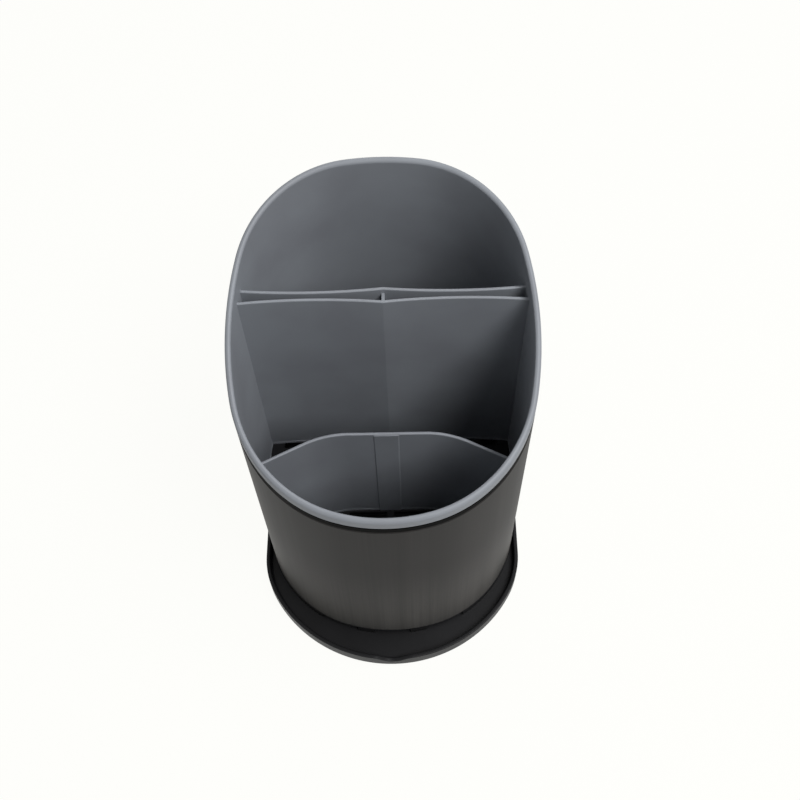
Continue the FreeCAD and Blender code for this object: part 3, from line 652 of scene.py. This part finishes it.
def drain_grille(tree, given):
    """Grid of rounded slots, kept within the grille area and cut out of the plate."""
    grille = node(tree, "InputNamedAttribute", {"Name": "grille"}, data_type="BOOLEAN")
    parted = node(tree, "SeparateGeometry", {
        "Geometry": given["Geometry"], "Selection": grille}, domain="FACE").outputs
    shape = node(tree, "CurvePrimitiveQuadrilateral", {
        "Width": given["Slot Length"], "Height": given["Slot Width"]})
    soft = node(tree, "FilletCurve", {
        "Curve": shape, "Count": 4, "Radius": given["Slot Rounding"]}, mode="POLY")
    face = node(tree, "FillCurve", {"Curve": soft}, mode="NGONS")
    raised = node(tree, "ExtrudeMesh", {
        "Mesh": face, "Offset Scale": given["Cut"], "Individual": False}, mode="FACES")
    under = node(tree, "FlipFaces", {"Mesh": face})
    slot = node(tree, "JoinGeometry", {"Geometry": [raised, under]})
    whole = node(tree, "MergeByDistance", {"Geometry": slot})
    grid = node(tree, "MeshGrid", {
        "Size X": given["Grid Width"], "Size Y": given["Grid Depth"], "Vertices X": given["Columns"],
        "Vertices Y": given["Rows"]})
    low = node(tree, "Transform", {"Geometry": grid, "Translation": given["Foot"]})
    slots = node(tree, "InstanceOnPoints", {"Points": low, "Instance": whole})
    real = node(tree, "RealizeInstances", {"Geometry": slots})
    kept = node(tree, "MeshBoolean", {"Mesh 2": [real, parted["Selection"]]},
                operation="INTERSECT", solver="MANIFOLD")
    return node(tree, "MeshBoolean", {"Mesh 1": parted["Inverted"], "Mesh 2": kept},
                operation="DIFFERENCE", solver="MANIFOLD")


def rubber_feet(tree, given):
    """One rubber pad set at the corners of a rectangle."""
    corners = node(tree, "MeshGrid", {
        "Size X": given["Across"], "Size Y": given["Along"], "Vertices X": 2, "Vertices Y": 2})
    return node(tree, "InstanceOnPoints", {"Points": corners, "Instance": given["Geometry"]})


class DRAINER_OT_sleeve(Operator):
    """Build the slant-topped steel sleeve"""

    bl_idname = "drainer.sleeve"
    bl_label = "Steel Sleeve"

    EDGE_ROUND = 0.15 * MM
    HEM_CREASE = 0.1 * MM

    def execute(self, context):
        plan = Layout(context.scene)
        sleeve = solid("steel_sleeve", swept_ring(plan.oval, self.sheet_profile(plan)))
        dress(sleeve, brushed_coated_steel, plan.stand, "sleeve", ["outer_sleeve"])
        return {"FINISHED"}

    def sheet_profile(self, plan):
        """Section of the sheet, with its hem set back along the slanted edge."""
        s = plan.sizes
        top, rise = plan.sleeve_top, plan.rise
        hem = top - s.hem_height
        return [
            (0.0, 0.0, s.sleeve_round, 0.0),
            (0.0, hem - s.hem_slope, self.EDGE_ROUND, rise),
            (-s.hem_depth, hem, self.HEM_CREASE, rise),
            (-s.hem_depth, top, self.EDGE_ROUND, rise),
            (plan.sleeve_in, top, self.EDGE_ROUND, rise),
            (plan.sleeve_in, 0.0, s.sleeve_round, 0.0),
        ]


class DRAINER_OT_liner(Operator):
    """Build the moulded liner with its rim, knife walls and front divider"""

    bl_idname = "drainer.liner"
    bl_label = "Moulded Liner"

    EDGE_ROUND = 0.3 * MM
    LEDGE_ROUND = 0.05 * MM
    BEAD_ROUND = 0.15 * MM
    PATH_STEP = 0.25 * MM
    FLAT_POINTS, BEND_POINTS = 12, 15
    # Steps between the knife walls' points: along the bows, and beside the crease
    BOW_STRIDE, CREASE_STRIDE = 6, 2

    def execute(self, context):
        plan = Layout(context.scene)
        s = plan.sizes
        front_path = self.knife_path(plan)
        back_path = [(-x, 2 * s.knife_plane - y) for x, y in front_path]
        rib_half = s.knife_plane - front_path[len(front_path) // 2][1]
        rib_path = [(0.0, s.knife_plane + reach) for reach in (-rib_half, 0.0, rib_half)]
        knife = self.wall_section(plan, plan.knife_top, both=False)
        divider = self.wall_section(plan, plan.front_top, both=True)
        liner = solid("liner_moulding", swept_ring(plan.oval, self.shell_profile(plan)))
        work(liner, "UNION",
             solid("front_knife_wall", swept_wall(front_path, knife)),
             solid("back_knife_wall", swept_wall(back_path, knife)),
             solid("knife_rib", swept_wall(rib_path, self.rib_section(plan))),
             solid("front_divider", swept_wall(self.divider_path(plan), divider)),
             solid("divider_strip", prism(
                 self.strip_plan(s), plan.plate_top, plan.front_top - s.strip_drop)))
        dress(liner, moulded_grey_polypropylene, plan.stand, "liner", ["liner"])
        return {"FINISHED"}

    def shell_profile(self, plan):
        """Section of the shell: rim band, wall, floor ledge and the bead under the drain plate."""
        s = plan.sizes
        inner, outer, rise = plan.liner_in, plan.liner_out, plan.rise
        top, foot = s.rim_height, s.rim_height - s.rim_band
        ledge, bead = inner - s.ledge_width, inner - s.bead_width
        bead_foot = plan.plate_foot - s.bead_depth
        return [
            (0.0, foot, self.EDGE_ROUND, rise),
            (0.0, top, s.rim_round, rise),
            (inner, top, s.rim_inside, rise),
            (inner, s.floor_height, self.LEDGE_ROUND, 0.0),
            (ledge, s.floor_height, self.LEDGE_ROUND, 0.0),
            (ledge, plan.plate_top, 0.0, 0.0),
            (inner, plan.plate_top, 0.0, 0.0),
            (inner, plan.plate_foot, 0.0, 0.0),
            (bead, plan.plate_foot, self.BEAD_ROUND, 0.0),
            (bead, bead_foot, self.BEAD_ROUND, 0.0),
            (inner, bead_foot, 0.0, 0.0),
            (inner, s.spigot_height, self.EDGE_ROUND, 0.0),
            (outer, s.spigot_height, self.EDGE_ROUND, 0.0),
            (outer, foot, 0.0, rise),
        ]

    def wall_section(self, plan, top, both):
        """Section of a divider with a rounded top and a floor ledge on one side or both."""
        s = plan.sizes
        half = s.divider_wall / 2
        ledge = half + s.ledge_width
        left = [(-half, top, s.divider_round), (-half, s.floor_height, self.LEDGE_ROUND),
                (-ledge, s.floor_height, self.LEDGE_ROUND), (-ledge, plan.plate_top, 0.0)]
        if both:
            right = [(-across, up, radius) for across, up, radius in reversed(left)]
        else:
            right = [(half, plan.plate_top, 0.0), (half, top, s.divider_round)]
        return right + left

    def rib_section(self, plan):
        """Plain section of the rib between the knife walls."""
        half, top = plan.sizes.divider_wall / 2, plan.knife_top - plan.sizes.rib_drop
        return [(half, plan.plate_top, 0.0), (half, top, self.EDGE_ROUND),
                (-half, top, self.EDGE_ROUND), (-half, plan.plate_top, 0.0)]

    @staticmethod
    def strip_plan(s):
        """Plan of the strip on the front divider's flat middle, with bevelled edges."""
        half, face = s.strip_width / 2, s.divider_wall / 2
        right = [(half - s.strip_bevel, -(face + s.strip_relief)), (half, -face), (half, 0.0)]
        left = [(-x, y) for x, y in reversed(right)]
        return [(x, y - s.front_plane) for x, y in left + right]

    def knife_path(self, plan):
        """Middle line of the front knife wall: two bows that meet in a crease."""
        s = plan.sizes
        centre = s.knife_plane - s.knife_pinch - s.knife_radius
        across = np.arange(0, s.sleeve_width / 2, self.PATH_STEP)
        whole = plan.trimmed([
            (x, centre + math.sqrt(s.knife_radius ** 2 - (x - s.knife_crown) ** 2)) for x in across])
        last, middle = len(whole) - 1, len(whole) // 2
        picked = {0, last, middle - self.CREASE_STRIDE, middle + self.CREASE_STRIDE,
                  *range(middle, last, self.BOW_STRIDE), *range(middle, 0, -self.BOW_STRIDE)}
        return [whole[place] for place in sorted(picked)]

    def divider_path(self, plan):
        """Middle line of the front divider: flat middle, bends, and wings that run forwards."""
        s = plan.sizes
        centre = -s.front_plane - s.bend_radius
        path = [(x, -s.front_plane) for x in np.linspace(0, s.bend_start, self.FLAT_POINTS, endpoint=False)]
        path += [(s.bend_start + s.bend_radius * math.sin(turn), centre + s.bend_radius * math.cos(turn))
                 for turn in np.linspace(0, s.wing, self.BEND_POINTS)]
        across, along = path[-1]
        path += [(across + run * math.cos(s.wing), along - run * math.sin(s.wing))
                 for run in np.arange(self.PATH_STEP, s.sleeve_width / 2, self.PATH_STEP)]
        return plan.trimmed(path)


class DRAINER_OT_drain_plate(Operator):
    """Build the slotted drain plate"""

    bl_idname = "drainer.drain_plate"
    bl_label = "Drain Plate"

    AREA_MARGIN = 1.0 * MM
    # Height of the slots' cutters in plate thicknesses, from one thickness under the plate
    CUT_DEPTHS = 4

    def execute(self, context):
        plan = Layout(context.scene)
        s = plan.sizes
        edge = plan.liner_in - s.plate_gap
        plate = solid("drain_plate_moulding", prism(plan.oval.grown(edge), plan.plate_foot, plan.plate_top))
        area = solid("grille_area", prism(
            plan.oval.grown(edge - s.plate_border), plan.plate_foot - self.AREA_MARGIN,
            plan.plate_top + self.AREA_MARGIN))
        for made, inside in ((plate, False), (area, True)):
            marks = made.data.attributes.new("grille", "BOOLEAN", "FACE")
            marks.data.foreach_set("value", [inside] * len(made.data.polygons))
        both = bmesh.new()
        both.from_mesh(plate.data)
        both.from_mesh(area.data)
        both.to_mesh(plate.data)
        both.free()
        bpy.data.objects.remove(area)
        grow_from(plate, drain_grille, {
            "Slot Length": s.web_step - s.web_width, "Slot Width": s.slot_width,
            "Slot Rounding": s.slot_round, "Cut": self.CUT_DEPTHS * s.plate_depth,
            "Grid Width": (s.slot_columns - 1) * s.web_step, "Grid Depth": (s.slot_rows - 1) * s.slot_step,
            "Columns": s.slot_columns, "Rows": s.slot_rows,
            "Foot": (0.0, 0.0, plan.plate_foot - s.plate_depth)})
        dress(plate, moulded_black_polypropylene, plan.stand, "liner", ["drain_plate"])
        return {"FINISHED"}


class DRAINER_OT_drip_tray(Operator):
    """Build the drip tray with its seat, drain windows, bill and pouring notch"""

    bl_idname = "drainer.drip_tray"
    bl_label = "Drip Tray"

    FLOOR_BORDER = 2.0 * MM
    FLOOR_ROUND = 1.0 * MM
    SEAT_ROUND = 0.1 * MM
    SPIGOT_ROOT = 0.2 * MM
    SPIGOT_ROUND = 0.5 * MM
    # Keeps the drain windows' cutters clear of the floor's face
    WINDOW_LIFT = 0.01 * MM

    def execute(self, context):
        plan = Layout(context.scene)
        tray = solid("drip_tray", swept_bowl(plan.tray, self.bowl_profile(plan)))
        work(tray, "UNION", solid("sleeve_seat", swept_ring(plan.oval, self.seat_profile(plan))))
        work(tray, "DIFFERENCE", *self.windows(plan), self.underside(plan), *self.pockets(plan))
        dress(tray, moulded_black_polypropylene, plan.stand, "base", ["base_tray"])
        return {"FINISHED"}

    def bowl_profile(self, plan):
        """Section of the bowl from its floor over the lip to its foot."""
        s = plan.sizes
        outer, inner = s.tray_step, s.tray_step - s.tray_wall
        dip = self.notch(s)
        return [
            (inner - self.FLOOR_BORDER, plan.floor_axis, 0.0, plan.fall),
            (inner, plan.floor_axis, self.FLOOR_ROUND, plan.fall),
            (inner, 0.0, s.lip_round, 0.0, dip),
            (outer, 0.0, s.lip_round, 0.0, dip),
            (outer, -s.tray_height, s.tray_round, 0.0),
            (inner - self.FLOOR_BORDER, -s.tray_height, 0.0, 0.0),
        ]

    @staticmethod
    def notch(s):
        """Function for the lip's height along the pouring notch and its rolled shoulders."""
        reach = s.spout_radius + s.spout_shoulder
        edge = math.sqrt(reach ** 2 - (reach - s.spout_depth) ** 2)
        turn = edge * s.spout_radius / reach

        def dip(plan):
            across = np.abs(plan[:, 0])
            bowl = s.spout_radius - s.spout_depth - np.sqrt(
                np.maximum(s.spout_radius ** 2 - np.minimum(across, turn) ** 2, 0))
            roll = -s.spout_shoulder + np.sqrt(
                np.maximum(s.spout_shoulder ** 2 - (np.clip(across, turn, edge) - edge) ** 2, 0))
            height = np.where(across < turn, bowl, roll)
            return np.where((across < edge) & (plan[:, 1] < 0), height, 0.0)

        return dip

    def seat_profile(self, plan):
        """Section of the seat that the sleeve stands on and of the spigot inside it."""
        s = plan.sizes
        foot = s.seat_root - s.tray_height
        return [
            (0.0, foot, 0.0, 0.0),
            (0.0, 0.0, self.SEAT_ROUND, 0.0),
            (plan.spigot_out, 0.0, self.SPIGOT_ROOT, 0.0),
            (plan.spigot_out, s.spigot_height, self.SPIGOT_ROUND, 0.0),
            (plan.spigot_in, s.spigot_height, self.SPIGOT_ROUND, 0.0),
            (plan.spigot_in, foot, 0.0, 0.0),
        ]

    def windows(self, plan):
        """Cutters for the drain windows under the front of the seat."""
        s = plan.sizes
        front = -s.sleeve_depth / 2 - s.tray_step
        back = front + s.window_reach
        for place in (-1, 0, 1):
            left = place * s.window_step - s.window_width / 2
            right = left + s.window_width
            yield solid("drain_window", prism(
                [(left, front), (right, front), (right, back), (left, back)],
                plan.floor_axis + self.WINDOW_LIFT, -s.window_bridge, low_slope=plan.fall))

    def underside(self, plan):
        """Cutter for the hollow under the sloped floor, with a boss left round each foot."""
        s = plan.sizes
        recess = plan.oval.grown(plan.spigot_in - s.recess_margin)
        hollow = solid("underside", prism(
            recess, plan.below_tray, plan.floor_axis - s.floor_wall, high_slope=plan.fall))
        work(hollow, "DIFFERENCE", *[
            solid("foot_boss", prism(disc(place, s.foot_boss / 2), plan.below_tray - s.tray_height, 0.0))
            for place in plan.foot_places])
        return hollow

    def pockets(self, plan):
        """Cutters for the pockets that hold the feet."""
        s = plan.sizes
        top = s.foot_depth - s.foot_proud - s.tray_height
        for place in plan.foot_places:
            yield solid("foot_pocket", prism(
                disc(place, s.foot_diameter / 2 + s.foot_gap), plan.below_tray, top))


class DRAINER_OT_feet(Operator):
    """Build the four rubber feet"""

    bl_idname = "drainer.feet"
    bl_label = "Rubber Feet"

    FACE_BORDER = 2.0 * MM
    UPPER_ROUND = 0.2 * MM

    def execute(self, context):
        plan = Layout(context.scene)
        s = plan.sizes
        low = -s.tray_height - s.foot_proud
        high = low + s.foot_depth
        pad = Outline(disc((0.0, 0.0), s.foot_diameter / 2), disc((0.0, 0.0), 1.0))
        feet = solid("rubber_feet", swept_bowl(pad, [
            (-self.FACE_BORDER, high, 0.0, 0.0),
            (0.0, high, self.UPPER_ROUND, 0.0),
            (0.0, low, s.foot_round, 0.0),
            (-self.FACE_BORDER, low, 0.0, 0.0),
        ]))
        grow_from(feet, rubber_feet, {
            "Across": 2 * plan.foot_side, "Along": plan.foot_front + plan.foot_rear})
        middle = Vector((0, (plan.foot_rear - plan.foot_front) / 2, 0))
        dress(feet, moulded_rubber, plan.stand + middle, "base", FEET)
        return {"FINISHED"}


class DRAINER_OT_stage(Operator):
    """Build the pale floor, the studio lights and the camera"""

    bl_idname = "drainer.stage"
    bl_label = "Studio Stage"

    FLOOR_HALF = 3.0
    FLOOR_GLOW = 1.03
    # The floor's own share of its brightness, which leaves only a trace of the shadow
    GLOW_SHARE = 0.93
    # Weak, faintly cool light from all round
    FILL_COLOUR, FILL_STRENGTH = (0.95, 0.97, 1.0, 1.0), 0.24
    # Brings the background to the white of the floor
    WORLD_WHITE = 0.963
    LAMP_SIZE = 0.6
    LAMP_TARGET = Vector((0, 0, 0.12))
    # Place and power in watts of each lamp
    LAMPS = {
        "right": ((0.657, 0.0, 1.356), 6.2),
        "front": ((0.554, -0.554, 1.281), 11.4),
        "back": ((0.0, 1.147, 0.923), 2.5),
    }
    # Camera fitted to the outlines of the rim, sleeve and tray, placed from the sleeve's foot
    CAMERA_PLACE = Vector((10.7763, -235.7374, 508.1902)) * MM
    YAW, PITCH, ROLL = -0.0201, 1.0472, -0.0338
    FOCAL_PIXELS, PICTURE_PIXELS = 1062.4955, 800
    SENSOR_WIDTH = 36.0
    NEAREST = 0.01

    def execute(self, context):
        scene = context.scene
        scene.view_settings.view_transform = "Standard"
        self.lay_floor(scene)
        self.light_world(scene)
        self.hang_lamps(scene)
        self.set_camera(scene)
        return {"FINISHED"}

    @staticmethod
    def seen(tree):
        """1 for a ray that shows the stage itself: straight, mirrored or through glass."""
        path = node(tree, "LightPath").outputs
        shown = node(tree, "Math", {0: path["Is Camera Ray"], 1: path["Is Glossy Ray"]}, operation="MAXIMUM")
        return node(tree, "Math", {0: shown, 1: path["Is Transmission Ray"]}, operation="MAXIMUM")

    def lay_floor(self, scene):
        """White paper, shown nearly at full white."""
        colours = scene.drainer_colours
        finish = bpy.data.materials.new("white_paper_floor")
        tree = bare_tree(finish)
        paper = node(tree, "BsdfDiffuse", {"Color": colours.floor_shade})
        glow = node(tree, "Emission", {"Color": colours.floor, "Strength": self.FLOOR_GLOW})
        share = node(tree, "Math", {0: self.seen(tree), 1: self.GLOW_SHARE}, operation="MULTIPLY")
        mixed = node(tree, "MixShader", {0: share, 1: paper, 2: glow})
        node(tree, "OutputMaterial", {"Surface": mixed})
        half = self.FLOOR_HALF
        mesh = bpy.data.meshes.new("floor")
        mesh.from_pydata([(-half, -half, 0), (half, -half, 0), (half, half, 0), (-half, half, 0)], [],
                         [(0, 1, 2, 3)])
        mesh.materials.append(finish)
        floor = bpy.data.objects.new("floor", mesh)
        scene.collection.objects.link(floor)

    def light_world(self, scene):
        """Weak light from all round, and a white background."""
        scene.world = bpy.data.worlds.new("studio")
        tree = bare_tree(scene.world)
        fill = node(tree, "Background", {"Color": self.FILL_COLOUR, "Strength": self.FILL_STRENGTH})
        white = node(tree, "Background", {
            "Color": scene.drainer_colours.floor, "Strength": self.WORLD_WHITE})
        mixed = node(tree, "MixShader", {0: self.seen(tree), 1: fill, 2: white})
        node(tree, "OutputWorld", {"Surface": mixed})

    def hang_lamps(self, scene):
        for name, (place, power) in self.LAMPS.items():
            lamp = bpy.data.lights.new(name, "AREA")
            lamp.shape = "DISK"
            lamp.size = self.LAMP_SIZE
            lamp.energy = power
            made = bpy.data.objects.new(name, lamp)
            made.location = place
            made.rotation_euler = (self.LAMP_TARGET - Vector(place)).to_track_quat("-Z", "Y").to_euler()
            scene.collection.objects.link(made)

    def set_camera(self, scene):
        pose = Matrix.Translation(self.CAMERA_PLACE + Layout(scene).stand)
        for turn, axis in ((-self.YAW, "Z"), (math.pi / 2 - self.PITCH, "X"), (self.ROLL, "Z")):
            pose = pose @ Matrix.Rotation(turn, 4, axis)
        lens = bpy.data.cameras.new("camera")
        lens.sensor_width = self.SENSOR_WIDTH
        lens.lens = self.FOCAL_PIXELS / self.PICTURE_PIXELS * self.SENSOR_WIDTH
        lens.clip_start = self.NEAREST
        camera = bpy.data.objects.new("camera", lens)
        camera.matrix_world = pose
        scene.collection.objects.link(camera)
        scene.camera = camera


class DRAINER_PT_panel(Panel):
    """Sizes, colours and pieces of the drainer"""

    bl_label = "Cutlery Drainer"
    bl_idname = "DRAINER_PT_panel"
    bl_space_type = "VIEW_3D"
    bl_region_type = "UI"
    bl_category = "Drainer"

    def draw(self, context):
        layout = self.layout
        for operator in OPERATORS:
            layout.operator(operator.bl_idname)
        for group in (context.scene.drainer_sizes, context.scene.drainer_colours):
            column = layout.column()
            for key in group.__annotations__:
                column.prop(group, key)


OPERATORS = (DRAINER_OT_sleeve, DRAINER_OT_liner, DRAINER_OT_drain_plate, DRAINER_OT_drip_tray,
             DRAINER_OT_feet, DRAINER_OT_stage)
CLASSES = (DrainerSizes, DrainerColours, *OPERATORS, DRAINER_PT_panel)


def register():
    for kind in CLASSES:
        bpy.utils.register_class(kind)
    bpy.types.Scene.drainer_sizes = PointerProperty(type=DrainerSizes)
    bpy.types.Scene.drainer_colours = PointerProperty(type=DrainerColours)


def unregister():
    del bpy.types.Scene.drainer_colours
    del bpy.types.Scene.drainer_sizes
    for kind in reversed(CLASSES):
        bpy.utils.unregister_class(kind)


def main():
    register()
    bpy.ops.drainer.sleeve()
    bpy.ops.drainer.liner()
    bpy.ops.drainer.drain_plate()
    bpy.ops.drainer.drip_tray()
    bpy.ops.drainer.feet()
    bpy.ops.drainer.stage()


if __name__ == "__main__":
    main()
